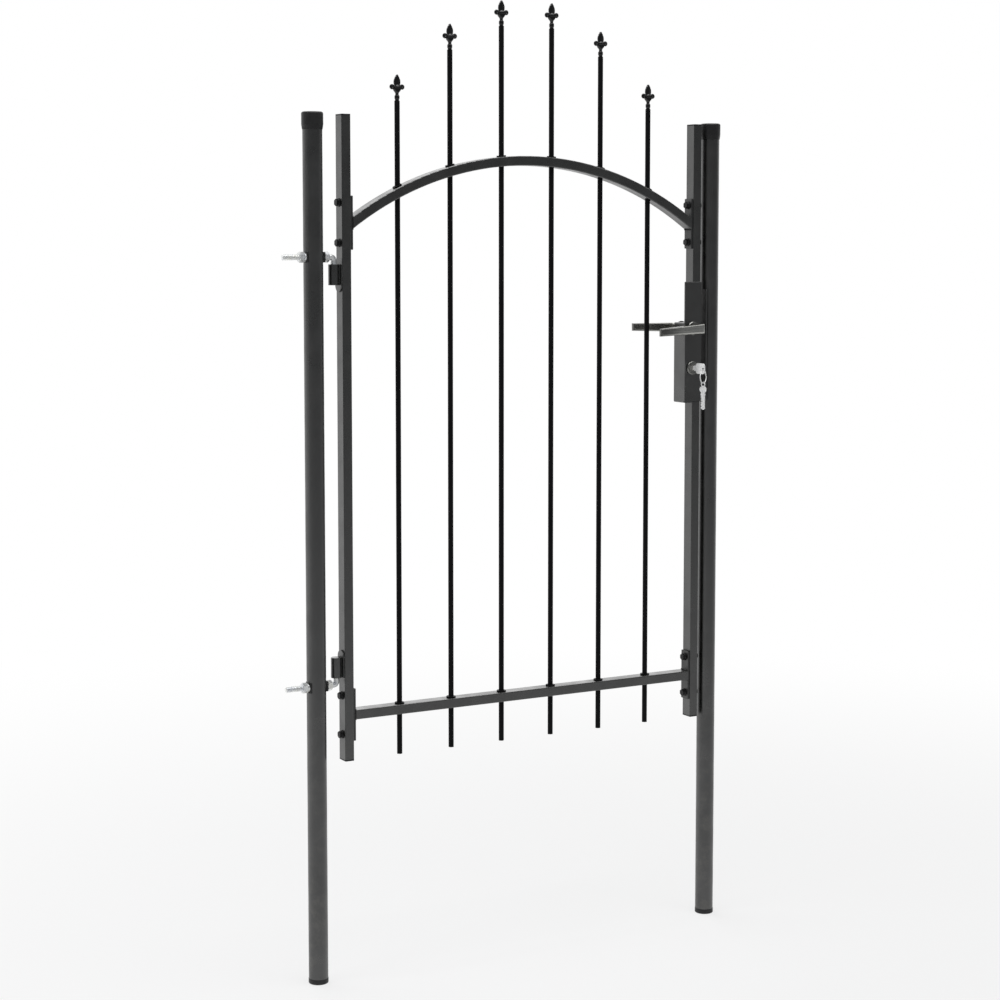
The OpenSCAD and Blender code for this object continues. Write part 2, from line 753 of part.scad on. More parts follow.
// Grip bar whose rounded section follows a sloping line at angle a,
// with its round edge up when s is 1 and down when s is -1
module grip_bar(a, z, s) {
  h = 3 * grip_h;
  translate([0, 0, z]) rotate([0, a, 0]) translate([-2 * lever_l, 0, -s * h / 2])
    rotate([90, 0, 90]) linear_extrude(3 * lever_l) round_rect(grip_t, h, grip_t * 0.4);
}

// Lever with its spindle on the Y axis, standing out along -Y from y = 0,
// its neck reaching the given depth into the rose
module lever(depth) {
  top_drop = (grip_h - grip_tip_h) / 2 + grip_fall;
  low_drop = grip_fall - (grip_h - grip_tip_h) / 2;
  difference() {
    union() {
      intersection() {
        translate([0, -lever_out, 0]) {
          intersection() {
            grip_bar(-atan(top_drop / lever_l), grip_h / 2, 1);
            grip_bar(-atan(low_drop / lever_l), -grip_h / 2, -1);
          }
        }
        translate([(neck_w - lever_l - neck_w / 2) / 2, -lever_out, -grip_h])
          linear_extrude(2 * grip_h) round_rect(lever_l + neck_w / 2, grip_t, 4.5);
      }
      block_y(-neck_w / 2, neck_w / 2, -grip_h / 2, grip_h / 2, -lever_out - grip_t / 2 + 3, -1, 5);
      translate([0, -1, 0]) rotate([-90, 0, 0]) cylinder(d = neck_d, h = 1 + depth);
    }
    translate([-spindle_w / 2 - fit, -lever_out / 2, -spindle_w / 2 - fit])
      cube([spindle_w + 2 * fit, lever_out, spindle_w + 2 * fit]);
  }
}

// Turns its children with the handles about the spindle, at rest
module on_spindle(y) {
  translate([lock_x, y, handle_z]) rotate([0, -handle_sag, 0]) children();
}

module front_lever() {
  color("#8b8c88") on_spindle(rose_y0) lever(rose_t + plate_t - seat);
}

// The same lever turned over, so its grip falls the other way
module rear_lever() {
  color("#8b8c88") on_spindle(rose_y1) rotate([180, 0, 0]) lever(rose_t - seat);
}

module spindle() {
  y0 = rose_y0 - lever_out / 2 + fit;
  color("#9a9ca0") on_spindle(0) translate([-spindle_w / 2, y0, -spindle_w / 2])
    cube([spindle_w, rose_y1 + lever_out / 2 - fit - y0, spindle_w]);
}

// Turning plug through the lock, slotted for the key's blade
module lock_plug() {
  color("#b9a468") difference() {
    translate([lock_x, key_rose_y1, key_z]) rotate([90, 0, 0])
      cylinder(d = key_plug_d, h = key_rose_y1 - key_rose_y0);
    translate([lock_x - key_t / 2 - fit, key_rose_y0 - 1, key_z - key_blade_h / 2 - fit])
      cube([key_t + 2 * fit, key_in + 1.5, key_blade_h + 2 * fit]);
  }
}

// Key in the lock, flat in the upright plane, with its bow in front
module key() {
  tip = key_rose_y0 + key_in;
  mid = bow_y0 + bow_l / 2;
  color("#c8cacb") translate([lock_x - key_t / 2, 0, key_z]) rotate([90, 0, 90])
    linear_extrude(key_t) difference() {
      union() {
        translate([mid, 0]) round_rect(bow_l, bow_h, bow_h / 3);
        polygon([[mid, -key_blade_h / 2], [tip - 3, -key_blade_h / 2], [tip, 0], [tip - 2, key_blade_h / 2],
          [mid, key_blade_h / 2]]);
        translate([key_rose_y0 - key_out + 2, -6]) square([4, 12]);
      }
      translate([bow_hole_y, 0]) circle(d = bow_hole_d);
      for (i = [1 : 4]) translate([tip - 5 * i, key_blade_h / 2]) rotate(45) square(2.4 + (i % 2), center = true);
    }
}

// Turns its children about the key ring's upright middle line
module on_ring(z) {
  translate([lock_x, bow_hole_y, z]) rotate([0, 0, ring_turn]) children();
}

module key_ring() {
  color("#c8cacb") on_ring(ring_z) rotate([90, 0, 0]) rotate_extrude() translate([ring_r, 0])
    circle(d = ring_wire_d);
}

// Spare key hanging from the ring, square to the ring
module spare_key() {
  r = bow_hole_d / 2 + 1.5;
  mid = r - 1.5 + spare_w / 2;
  color("#c8cacb") on_ring(spare_z) translate([-key_t / 2, 0, 0]) rotate([90, 0, 90])
    linear_extrude(key_t) difference() {
      union() {
        circle(r);
        translate([0, -mid]) circle(d = spare_w);
        polygon([[-4.5, -mid], [-4.5, 2 - spare_l], [-2, -spare_l], [1, -spare_l], [4.5, 3 - spare_l], [4.5, -mid]]);
        translate([0, -mid - spare_w / 2 - 3]) square([11, 4], center = true);
      }
      circle(d = bow_hole_d);
      for (i = [1 : 4]) translate([4.5, 2 - spare_l + 5.5 * i]) rotate(45)
        square(2.2 + (i % 2), center = true);
    }
}

hinge_post_lower();
hinge_post_upper();
cap(0);  // hinge_post_cap
foot(0);  // hinge_post_foot
latch_post_lower();
latch_post_upper();
cap(post_pitch);  // latch_post_cap
foot(post_pitch);  // latch_post_foot
keeper_plate();
hook(upper_hook_z, -1);  // upper_hook
hook(lower_hook_z, 1);  // lower_hook
hook_nuts();
hook_washers();
outer_pads();
inner_pads();
hinge_stile();
latch_stile();
stile_plugs();
arch_rail();
bottom_rail();
bars_upright();
bar_collars();
finials();
hinge_end_plates();
latch_end_plates();
plate_bolts();
plate_nuts();
barrel(upper_hook_z, -1);  // upper_barrel
barrel(lower_hook_z, 1);  // lower_barrel
hinge_tabs();
lock_case();
lock_plate();
lever_roses();
key_roses();
front_lever();
rear_lever();
spindle();
lock_plug();
key();
key_ring();
spare_key();
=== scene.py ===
import json
import math
import bpy
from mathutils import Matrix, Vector

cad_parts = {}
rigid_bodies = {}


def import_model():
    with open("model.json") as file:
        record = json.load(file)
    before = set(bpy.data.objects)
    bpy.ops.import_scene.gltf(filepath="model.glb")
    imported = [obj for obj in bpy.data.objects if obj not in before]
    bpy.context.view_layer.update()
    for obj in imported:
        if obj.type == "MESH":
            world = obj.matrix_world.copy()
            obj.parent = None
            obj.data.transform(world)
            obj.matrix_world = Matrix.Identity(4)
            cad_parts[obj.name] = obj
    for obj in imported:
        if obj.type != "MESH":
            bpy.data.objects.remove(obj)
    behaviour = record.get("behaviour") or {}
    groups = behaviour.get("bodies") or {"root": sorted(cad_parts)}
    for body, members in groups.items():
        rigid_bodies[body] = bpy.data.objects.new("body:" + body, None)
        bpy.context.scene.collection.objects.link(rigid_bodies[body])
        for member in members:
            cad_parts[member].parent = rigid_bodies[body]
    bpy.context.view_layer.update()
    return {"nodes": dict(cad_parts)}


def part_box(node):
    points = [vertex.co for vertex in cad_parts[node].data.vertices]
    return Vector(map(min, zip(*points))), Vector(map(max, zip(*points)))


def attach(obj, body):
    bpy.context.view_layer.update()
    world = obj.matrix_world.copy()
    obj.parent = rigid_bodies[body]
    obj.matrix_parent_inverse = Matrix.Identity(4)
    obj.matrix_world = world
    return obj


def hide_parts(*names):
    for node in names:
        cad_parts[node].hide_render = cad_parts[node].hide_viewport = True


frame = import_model()
bpy.ops.object.select_all(action="DESELECT")
nodes = frame["nodes"]
scene = bpy.context.scene

# Sizes of the detailed pieces, in metres
MERGE = 0.000005            # points closer than this are one
HINGE_X = 0.0448            # axis of the hinge pins
LOWER_HOOK_Z = 0.6185
UPPER_HOOK_Z = 1.491
HOOK_R = 0.006              # hook bolts and their pins
HOOK_TAIL_X = -0.068        # outer end of the threads
HOOK_TAIL_R = 0.0044        # the chamfered end there
HOOK_CORE_R = 0.0051        # bolt under its thread
HOOK_THREAD = 0.1015        # tail to the end of the core
HOOK_BEND_X = 0.0378        # where the bend starts
HOOK_BEND_R = 0.007
PIN_RISE = 0.0442           # straight part of a pin
PIN_CHAMFER = 0.001
THREAD_PITCH = 0.00175
RING_R = 0.015              # key ring, to the middle of its wire
RING_WIRE_R = 0.0006
RING_PITCH = 0.00122        # from one turn of the ring to the next
RIPPLE_STEP = 0.0013        # from one weld ripple to the next


# ---------------------------------------------------------------- finishes

class Finish:
    """One surface finish: a Principled shader fed from the object's own coordinates."""

    def __init__(self, name, metallic=0.0, shine=0.5, ior=1.5):
        self.mat = bpy.data.materials.new(name)
        self.mat.use_nodes = True
        self.tree = self.mat.node_tree
        self.shader = self.tree.nodes["Principled BSDF"]
        self.shader.inputs["Metallic"].default_value = metallic
        self.shader.inputs["Specular IOR Level"].default_value = shine
        self.shader.inputs["IOR"].default_value = ior
        self.where = self.node("ShaderNodeTexCoord").outputs["Object"]
        self.height = None

    def node(self, kind, **settings):
        made = self.tree.nodes.new(kind)
        for key, value in settings.items():
            setattr(made, key, value)
        return made

    def join(self, out, into):
        self.tree.links.new(out, into)

    def stretched(self, size):
        turn = self.node("ShaderNodeMapping")
        turn.inputs["Scale"].default_value = size
        self.join(self.where, turn.inputs["Vector"])
        return turn.outputs["Vector"]

    def noise(self, scale, detail=3.0, rough=0.5, stretch=None):
        made = self.node("ShaderNodeTexNoise")
        made.inputs["Scale"].default_value = scale
        made.inputs["Detail"].default_value = detail
        made.inputs["Roughness"].default_value = rough
        self.join(self.stretched(stretch) if stretch else self.where, made.inputs["Vector"])
        return made.outputs["Fac"]

    def cells(self, scale):
        made = self.node("ShaderNodeTexVoronoi")
        made.inputs["Scale"].default_value = scale
        self.join(self.where, made.inputs["Vector"])
        return made.outputs["Color"]

    def spread(self, value, low, high, out_low=0.0, out_high=1.0):
        made = self.node("ShaderNodeMapRange", interpolation_type="SMOOTHSTEP")
        for key, number in zip(("From Min", "From Max", "To Min", "To Max"), (low, high, out_low, out_high)):
            made.inputs[key].default_value = number
        self.join(value, made.inputs["Value"])
        return made.outputs["Result"]

    def times(self, a, b, kind="MULTIPLY"):
        made = self.node("ShaderNodeMath", operation=kind)
        for slot, value in zip(made.inputs, (a, b)):
            if isinstance(value, (int, float)):
                slot.default_value = value
            else:
                self.join(value, slot)
        return made.outputs["Value"]

    def blend(self, share, first, second):
        made = self.node("ShaderNodeMix", data_type="RGBA")
        for key, value in (("A_Color", first), ("B_Color", second)):
            slot = next(s for s in made.inputs if s.identifier == key)
            if isinstance(value, tuple):
                slot.default_value = (*value, 1.0)
            else:
                self.join(value, slot)
        self.join(share, made.inputs["Factor"])
        return next(s for s in made.outputs if s.identifier == "Result_Color")

    def colour(self, value):
        self.join(value, self.shader.inputs["Base Color"])

    def roughness(self, value):
        self.join(value, self.shader.inputs["Roughness"])

    def bump(self, value, depth, strength=1.0):
        made = self.node("ShaderNodeBump")
        made.inputs["Distance"].default_value = depth
        made.inputs["Strength"].default_value = strength
        self.join(value, made.inputs["Height"])
        if self.height is not None:
            self.join(self.height, made.inputs["Normal"])
        self.height = made.outputs["Normal"]
        self.join(self.height, self.shader.inputs["Normal"])

    def low_part(self, top, bottom):
        """1 near the ground, 0 above top."""
        cut = self.node("ShaderNodeSeparateXYZ")
        self.join(self.where, cut.inputs["Vector"])
        return self.spread(cut.outputs["Z"], bottom, top, 1.0, 0.0)


def powder_coat(name, dark, light, gloss=0.36, paler_low_share=0.25, peel=620.0, shine=0.6, ior=1.82, scuffed=0.3, skin=1.0):
    """Satin powder coat on steel: orange peel, cloudy tone, faint run marks, scuffs and paler olive patches towards
    the ground.
    """
    f = Finish(name, shine=shine, ior=ior)
    tone = f.blend(f.spread(f.noise(7.0, 4.0), 0.3, 0.7), dark, light)
    runs = f.spread(f.noise(1.0, 3.0, 0.6, (95.0, 95.0, 2.4)), 0.56, 0.8, 0.0, 0.3)
    tone = f.blend(runs, tone, tuple(min(1.0, c * 1.6 + 0.004) for c in light))
    scuff = f.times(f.spread(f.noise(260.0, 6.0, 0.75), 0.64, 0.72), f.spread(f.noise(11.0, 2.0), 0.5, 0.72))
    tone = f.blend(f.times(scuff, scuffed), tone, (0.11, 0.11, 0.105))
    # paler olive patches, more of them from 0.75 m down to the ground
    paler_low_patches = f.times(f.spread(f.noise(38.0, 6.0, 0.7), 0.42, 0.75), f.low_part(0.75, 0.0))
    tone = f.blend(f.times(paler_low_patches, paler_low_share), tone, (0.15, 0.14, 0.115))
    f.colour(tone)
    cloudy = f.spread(f.noise(24.0, 5.0), 0.25, 0.75, gloss - 0.06, gloss + 0.1)
    f.roughness(f.times(cloudy, f.times(scuff, 0.25), "ADD"))
    f.bump(f.noise(5.5, 2.0), 0.0016, 0.25)
    f.bump(f.noise(peel, 1.5, 0.4), 0.00022, 0.5 * skin)
    f.bump(scuff, 0.00012, 0.6 * skin)
    return f.mat


def moulded_plastic(name, dark, light, gloss=0.5):
    """Black moulded plastic with a fine leather grain and pale rubbed spots."""
    f = Finish(name)
    tone = f.blend(f.spread(f.noise(30.0, 4.0), 0.3, 0.7), dark, light)
    rub = f.times(f.spread(f.noise(190.0, 5.0, 0.7), 0.6, 0.74), f.spread(f.noise(26.0, 2.0), 0.45, 0.75))
    f.colour(f.blend(f.times(rub, 0.5), tone, (0.075, 0.074, 0.07)))
    f.roughness(f.spread(f.noise(70.0, 4.0), 0.25, 0.75, gloss - 0.08, gloss + 0.12))
    f.bump(f.cells(850.0), 0.00012, 0.35)
    f.bump(f.noise(60.0, 2.0), 0.0004, 0.15)
    return f.mat


def zinc_plate(name):
    """Bright zinc plating: small spangle, faint blue and straw cast, dull patches."""
    f = Finish(name, metallic=0.55)
    tone = f.blend(f.spread(f.noise(75.0, 4.0), 0.3, 0.7), (0.82, 0.84, 0.87), (0.88, 0.88, 0.84))
    dull = f.spread(f.noise(34.0, 6.0, 0.65), 0.5, 0.74)
    f.colour(f.blend(dull, tone, (0.7, 0.7, 0.69)))
    f.roughness(f.spread(f.noise(120.0, 5.0), 0.25, 0.8, 0.22, 0.4))
    f.bump(f.cells(900.0), 0.00006, 0.3)
    return f.mat


def satin_metal(name, dark, light, along=(5.0, 260.0, 260.0), rough=(0.26, 0.42), metallic=1.0, painted_shade_tip_x=None):
    """Brushed and lacquered metal, grain along one axis, with optional painted shade on the part's low-X end."""
    f = Finish(name, metallic=metallic)
    grain = f.noise(4.0, 5.0, 0.6, along)
    tone = f.blend(f.spread(grain, 0.3, 0.7), dark, light)
    worn = f.spread(f.noise(60.0, 6.0, 0.7), 0.55, 0.78, 0.0, 0.4)
    tone = f.blend(worn, tone, tuple(c * 0.7 for c in dark))
    # painted shade: the given X range darkens the part's low-X end, standing in for the shade on the lever tips
    if painted_shade_tip_x:
        cut = f.node("ShaderNodeSeparateXYZ")
        f.join(f.where, cut.inputs["Vector"])
        tone = f.blend(f.spread(cut.outputs["X"], *painted_shade_tip_x, 0.85, 0.0), tone, tuple(c * 0.3 for c in dark))
    f.colour(tone)
    f.roughness(f.spread(grain, 0.2, 0.8, *rough))
    f.bump(grain, 0.00008, 0.3)
    f.bump(f.noise(45.0, 2.0), 0.0004, 0.15)
    return f.mat


def black_oxide(name):
    """Blackened fasteners with rubbed corners."""
    f = Finish(name, shine=0.25)
    rub = f.spread(f.noise(330.0, 6.0, 0.7), 0.6, 0.72)
    tone = f.blend(f.spread(f.noise(50.0, 4.0), 0.3, 0.7), (0.004, 0.004, 0.0045), (0.009, 0.009, 0.0095))
    f.colour(f.blend(f.times(rub, 0.5), tone, (0.12, 0.12, 0.12)))
    f.roughness(f.spread(f.noise(90.0, 4.0), 0.2, 0.8, 0.28, 0.5))
    f.bump(f.noise(420.0, 3.0), 0.00012, 0.35)
    return f.mat


def casting_coat(name, dark, light):
    """Coated castings: the sandy skin of the casting under dark paint."""
    f = Finish(name, shine=0.5)
    tone = f.blend(f.spread(f.noise(40.0, 5.0), 0.3, 0.7), dark, light)
    rub = f.times(f.spread(f.noise(240.0, 6.0, 0.75), 0.62, 0.72), f.spread(f.noise(30.0, 2.0), 0.45, 0.7))
    f.colour(f.blend(f.times(rub, 0.4), tone, (0.1, 0.1, 0.097)))
    f.roughness(f.spread(f.noise(70.0, 5.0), 0.25, 0.75, 0.14, 0.26))
    f.bump(f.noise(150.0, 4.0, 0.6), 0.0005, 0.3)
    f.bump(f.noise(700.0, 2.0), 0.00015, 0.3)
    return f.mat


post_coat = powder_coat("post_coat", (0.0035, 0.0037, 0.0034), (0.006, 0.0063, 0.0058), gloss=0.32)
frame_coat = powder_coat("frame_coat", (0.0042, 0.0045, 0.0038), (0.007, 0.0074, 0.0062), gloss=0.3)
bar_coat = powder_coat("bar_coat", (0.0035, 0.0035, 0.004), (0.006, 0.006, 0.0065), gloss=0.5, paler_low_share=0.04,
                       shine=0.12, ior=1.45, scuffed=0.0, skin=0.2)
plate_coat = powder_coat("end_plate_coat", (0.006, 0.006, 0.006), (0.01, 0.01, 0.01), gloss=0.4, ior=1.6)
lock_coat = powder_coat("lock_coat", (0.0042, 0.0045, 0.0038), (0.007, 0.0074, 0.0062), gloss=0.3)
finial_coat = casting_coat("finial_coat", (0.0015, 0.0015, 0.0018), (0.003, 0.003, 0.0033))
weld_coat = casting_coat("weld_coat", (0.01, 0.0105, 0.0095), (0.017, 0.0175, 0.016))
cap_plastic = moulded_plastic("cap_plastic", (0.004, 0.004, 0.0045), (0.008, 0.008, 0.0085))
pad_plastic = moulded_plastic("pad_plastic", (0.004, 0.004, 0.004), (0.008, 0.008, 0.008), gloss=0.6)
zinc = zinc_plate("zinc")
# the lever tips get painted shade between X 0.803 and 0.868
lever_metal = satin_metal("lever_metal", (0.4, 0.4, 0.38), (0.52, 0.52, 0.49), rough=(0.18, 0.3), painted_shade_tip_x=(0.803, 0.868))
spindle_metal = satin_metal("spindle_metal", (0.42, 0.42, 0.42), (0.55, 0.55, 0.55), (200.0, 8.0, 200.0))
key_metal = satin_metal("key_metal", (0.9, 0.9, 0.89), (0.96, 0.96, 0.95), (120.0, 120.0, 20.0), (0.2, 0.36), 0.15)
plug_metal = satin_metal("plug_metal", (0.3, 0.295, 0.28), (0.38, 0.375, 0.355), (160.0, 8.0, 160.0))
rose_metal = satin_metal("rose_metal", (0.2, 0.2, 0.19), (0.27, 0.27, 0.255), (60.0, 9.0, 60.0), (0.2, 0.32))
bolt_black = black_oxide("bolt_black")

finishes = {
    post_coat: ("hinge_post_lower", "hinge_post_upper", "latch_post_lower", "latch_post_upper", "keeper_plate"),
    cap_plastic: ("hinge_post_cap", "hinge_post_foot", "latch_post_cap", "latch_post_foot", "stile_plugs"),
    zinc: ("hook_nuts", "hook_washers"),
    pad_plastic: ("outer_pads", "inner_pads"),
    frame_coat: ("hinge_stile", "latch_stile", "arch_rail", "bottom_rail", "hinge_tabs", "upper_barrel",
                 "lower_barrel"),
    bar_coat: ("bars_upright", "bar_collars"),
    plate_coat: ("hinge_end_plates", "latch_end_plates"),
    bolt_black: ("plate_bolts", "plate_nuts"),
    lock_coat: ("lock_case", "lock_plate"),
    rose_metal: ("lever_roses", "key_roses"),
    lever_metal: ("front_lever", "rear_lever"),
    spindle_metal: ("spindle",),
    plug_metal: ("lock_plug",),
    key_metal: ("key", "spare_key"),
}


def pick(obj):
    bpy.ops.object.select_all(action="DESELECT")
    obj.select_set(True)
    bpy.context.view_layer.objects.active = obj


def open_up(obj):
    """Edit mode on one object, with nothing selected in it."""
    pick(obj)
    bpy.ops.object.mode_set(mode="EDIT")
    bpy.ops.mesh.select_all(action="DESELECT")


def close_up():
    bpy.ops.object.mode_set(mode="OBJECT")
    bpy.ops.object.select_all(action="DESELECT")


def settled(name):
    """The primitive just added, with its place taken into its mesh."""
    made = bpy.context.object
    made.name = name
    bpy.ops.object.transform_apply(location=True, rotation=True, scale=True)
    return made


def dress(obj, finish):
    obj.data.materials.clear()
    obj.data.materials.append(finish)


def soften(obj, width):
    """Breaks the sharp edges of a solid and shades its curved faces smooth."""
    pick(obj)
    if obj.data.has_custom_normals:
        bpy.ops.mesh.customdata_custom_splitnormals_clear()
    for face in obj.data.polygons:
        face.use_smooth = True
    weld = obj.modifiers.new("weld", "WELD")
    weld.merge_threshold = MERGE
    if width:
        edge = obj.modifiers.new("broken_edges", "BEVEL")
        edge.limit_method = "ANGLE"
        edge.angle_limit = math.radians(30.0)
        edge.width = width
        edge.segments = 2
        edge.use_clamp_overlap = False
    else:
        split = obj.modifiers.new("edges", "EDGE_SPLIT")
        split.split_angle = math.radians(35.0)
    even = obj.modifiers.new("even_shading", "WEIGHTED_NORMAL")
    even.mode = "FACE_AREA"
    even.keep_sharp = True
    obj.select_set(False)


# Width of the broken edge, by the last word of a node's name
edge_breaks = {
    "cap": 0.0008, "foot": 0.0008, "plugs": 0.0005, "pads": 0.0006, "bolts": 0.0004,
    "roses": 0.0004, "key": 0.0003, "barrel": 0.0006, "tabs": 0.0005, "collars": 0.0005,
}
for finish, names in finishes.items():
    for name in names:
        dress(nodes[name], finish)
        soften(nodes[name], edge_breaks.get(name.split("_")[-1], 0.0))


# ---------------------------------------------------------------- detailed pieces

def piece(made, body, finish, slot, *stands_for):
    """Finishes a piece: outward normals, smooth shading, its finish, its body and the nodes it stands for."""
    open_up(made)
    bpy.ops.mesh.select_all(action="SELECT")
    bpy.ops.mesh.normals_make_consistent(inside=False)
    close_up()
    pick(made)
    bpy.ops.object.shade_smooth_by_angle(angle=math.radians(38.0))
    made.select_set(False)
    dress(made, finish)
    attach(made, body)
    if stands_for:
        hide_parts(*stands_for)


def apply_all(obj):
    pick(obj)
    for modifier in list(obj.modifiers):
        bpy.ops.object.modifier_apply(modifier=modifier.name)


def copy_of(obj, name):
    made = obj.copy()
    made.data = obj.data.copy()
    made.name = name
    scene.collection.objects.link(made)
    return made


def middle_of(obj):
    low = [min(v.co[i] for v in obj.data.vertices) for i in range(3)]
    high = [max(v.co[i] for v in obj.data.vertices) for i in range(3)]
    return Vector([(a + b) / 2 for a, b in zip(low, high)])


def band(obj, low, high):
    """Edit mode with the points between two heights selected."""
    open_up(obj)
    bpy.ops.object.mode_set(mode="OBJECT")
    for point in obj.data.vertices:
        point.select = low < point.co.z < high
    bpy.ops.object.mode_set(mode="EDIT")


def merged_copy(node, name):
    """A CAD node's solid as one closed mesh."""
    made = copy_of(nodes[node], name)
    made.parent = None
    made.modifiers.clear()
    open_up(made)
    bpy.ops.mesh.select_all(action="SELECT")
    bpy.ops.mesh.remove_doubles(threshold=MERGE)
    close_up()
    return made


def cast_finials():
    """The spear finials as castings: every edge run soft, as it leaves the mould."""
    # below the tip from, to; then the resize across and through: two swell the blade, the last draws the point
    tip_bands = ((0.0062, 0.0018, 1.22, 1.0), (0.0048, 0.0026, 1.16, 1.0), (0.0022, -0.001, 0.86, 0.8))
    row = merged_copy("finials", "finial_1")
    pick(row)
    skin = row.modifiers.new("skin", "REMESH")
    skin.mode = "VOXEL"
    skin.voxel_size = 0.00036
    skin.use_smooth_shade = True
    ease = row.modifiers.new("ease", "SMOOTH")
    ease.factor = 0.5
    ease.iterations = 3
    apply_all(row)
    open_up(row)
    bpy.ops.mesh.separate(type="LOOSE")
    close_up()
    made = [o for o in scene.objects if o.name.startswith("finial_1")]
    made.sort(key=lambda o: middle_of(o).x)
    for i, one in enumerate(made):
        one.name = "finial_cast_%d" % (i + 1)
        top = max(v.co.z for v in one.data.vertices)
        at = (middle_of(one).x, 0.0, top - 0.0035)
        for low, high, wide, thin in tip_bands:
            band(one, top - low, top - high)
            bpy.ops.transform.resize(value=(wide, thin, 1.0), center_override=at)
            close_up()
        band(one, top - 0.009, top + 0.001)
        bpy.ops.mesh.vertices_smooth(factor=0.5, repeat=20)
        close_up()
    for one in made:
        piece(one, "leaf", finial_coat, "bar_steel", "finials")


def drawn_bar(name, start, across, stations, sides=32):
    """A round bar drawn out of a disc along X: each station is how far along and the radius there."""
    bpy.ops.mesh.primitive_circle_add(vertices=sides, radius=across, fill_type="NGON", location=start,
                                      rotation=(0.0, math.radians(90.0), 0.0))
    made = settled(name)
    open_up(made)
    bpy.ops.mesh.select_all(action="SELECT")
    here, wide = 0.0, across
    for along, radius in stations:
        bpy.ops.mesh.extrude_region_move(TRANSFORM_OT_translate={"value": (along - here, 0.0, 0.0)})
        if radius != wide:
            bpy.ops.transform.resize(value=(radius / wide,) * 3,
                                     center_override=(start[0] + along, start[1], start[2]))
        here, wide = along, radius
    return made


def thread_ridge(name, start, length, root, crest, pitch):
    """The raised helix of a screw thread, closed at both ends."""
    third = (crest - root) / 1.5
    bpy.ops.mesh.primitive_circle_add(vertices=3, radius=third, fill_type="NOTHING", location=start)
    made = bpy.context.object
    made.name = name
    open_up(made)
    bpy.ops.mesh.select_all(action="SELECT")
    bpy.ops.transform.rotate(value=math.radians(90.0), orient_axis="X", center_override=start)
    bpy.ops.transform.resize(value=(pitch * 0.97 / (third * math.sqrt(3.0)), 1.0, 1.0), center_override=start)
    close_up()
    points_up = sum(1 for v in made.data.vertices if v.co.z > 0) == 1
    open_up(made)
    bpy.ops.mesh.select_all(action="SELECT")
    if not points_up:
        bpy.ops.transform.rotate(value=math.radians(180.0), orient_axis="X", center_override=start)
    bpy.ops.transform.translate(value=(0.0, 0.0, root + third / 2))
    close_up()
    pick(made)
    winding = made.modifiers.new("winding", "SCREW")
    winding.axis = "X"
    winding.screw_offset = pitch
    winding.iterations = int(length / pitch)
    winding.steps = 24
    winding.render_steps = 24
    apply_all(made)
    bpy.ops.object.transform_apply(location=True, rotation=True, scale=True)
    open_up(made)
    bpy.ops.mesh.select_all(action="SELECT")
    bpy.ops.mesh.fill_holes(sides=3)
    close_up()
    return made


def hook_bolts():
    """The two hook bolts: threaded from the tail to the inner nut, bent square, with a chamfered pin."""
    z = LOWER_HOOK_Z
    pin_top = z + HOOK_BEND_R + PIN_RISE + PIN_CHAMFER
    hook = drawn_bar("lower_hook_bolt", (HOOK_TAIL_X, 0.0, z), HOOK_TAIL_R,
                     [(0.001, HOOK_CORE_R), (HOOK_THREAD, HOOK_CORE_R), (HOOK_THREAD + 0.0009, HOOK_R),
                      (HOOK_BEND_X - HOOK_TAIL_X, HOOK_R)])
    bpy.ops.mesh.spin(steps=10, angle=math.radians(90.0), center=(HOOK_BEND_X, 0.0, z + HOOK_BEND_R),
                      axis=(0.0, 1.0, 0.0))
    bpy.ops.mesh.extrude_region_move(TRANSFORM_OT_translate={"value": (0.0, 0.0, PIN_RISE)})
    bpy.ops.mesh.extrude_region_move(TRANSFORM_OT_translate={"value": (0.0, 0.0, PIN_CHAMFER)})
    bpy.ops.transform.resize(value=(1.0 - PIN_CHAMFER / HOOK_R,) * 3, center_override=(HINGE_X, 0.0, pin_top))
    close_up()
    ridge = thread_ridge("ridge", (HOOK_TAIL_X + 0.001, 0.0, z), 0.1, HOOK_CORE_R - 0.0002, HOOK_R - 0.00002,
                         THREAD_PITCH)
    bpy.ops.object.select_all(action="DESELECT")
    ridge.select_set(True)
    hook.select_set(True)
    bpy.context.view_layer.objects.active = hook
    bpy.ops.object.join()
    other = copy_of(hook, "upper_hook_bolt")
    halfway = (LOWER_HOOK_Z + UPPER_HOOK_Z) / 2
    open_up(other)
    bpy.ops.mesh.select_all(action="SELECT")
    bpy.ops.transform.rotate(value=math.radians(180.0), orient_axis="X", center_override=(0.0, 0.0, halfway))
    close_up()
    piece(hook, "posts", zinc, "zinc", "lower_hook")
    piece(other, "posts", zinc, "zinc", "upper_hook")


def split_ring():
    """The key ring: two turns of round wire lying side by side."""
    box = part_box("key_ring")
    centre = [(a + b) / 2 for a, b in zip(*box)]
    bpy.ops.mesh.primitive_circle_add(vertices=12, radius=RING_WIRE_R, fill_type="NOTHING", location=centre,
                                      rotation=(0.0, 0.0, math.radians(30.0)))
    made = bpy.context.object
    made.name = "split_ring"
    open_up(made)
    bpy.ops.mesh.select_all(action="SELECT")
    lift = Vector((RING_R, -RING_PITCH, 0.0))
    lift.rotate(made.rotation_euler)
    bpy.ops.transform.translate(value=lift)
    close_up()
    pick(made)
    winding = made.modifiers.new("winding", "SCREW")
    winding.axis = "Y"
    winding.screw_offset = RING_PITCH
    winding.iterations = 2
    winding.steps = 72
    winding.render_steps = 72
    apply_all(made)
    bpy.ops.object.transform_apply(location=True, rotation=True, scale=True)
    open_up(made)
    bpy.ops.mesh.select_all(action="SELECT")
    bpy.ops.mesh.fill_holes(sides=12)
    close_up()
    piece(made, "hanging_key", key_metal, "key_nickel", "key_ring")


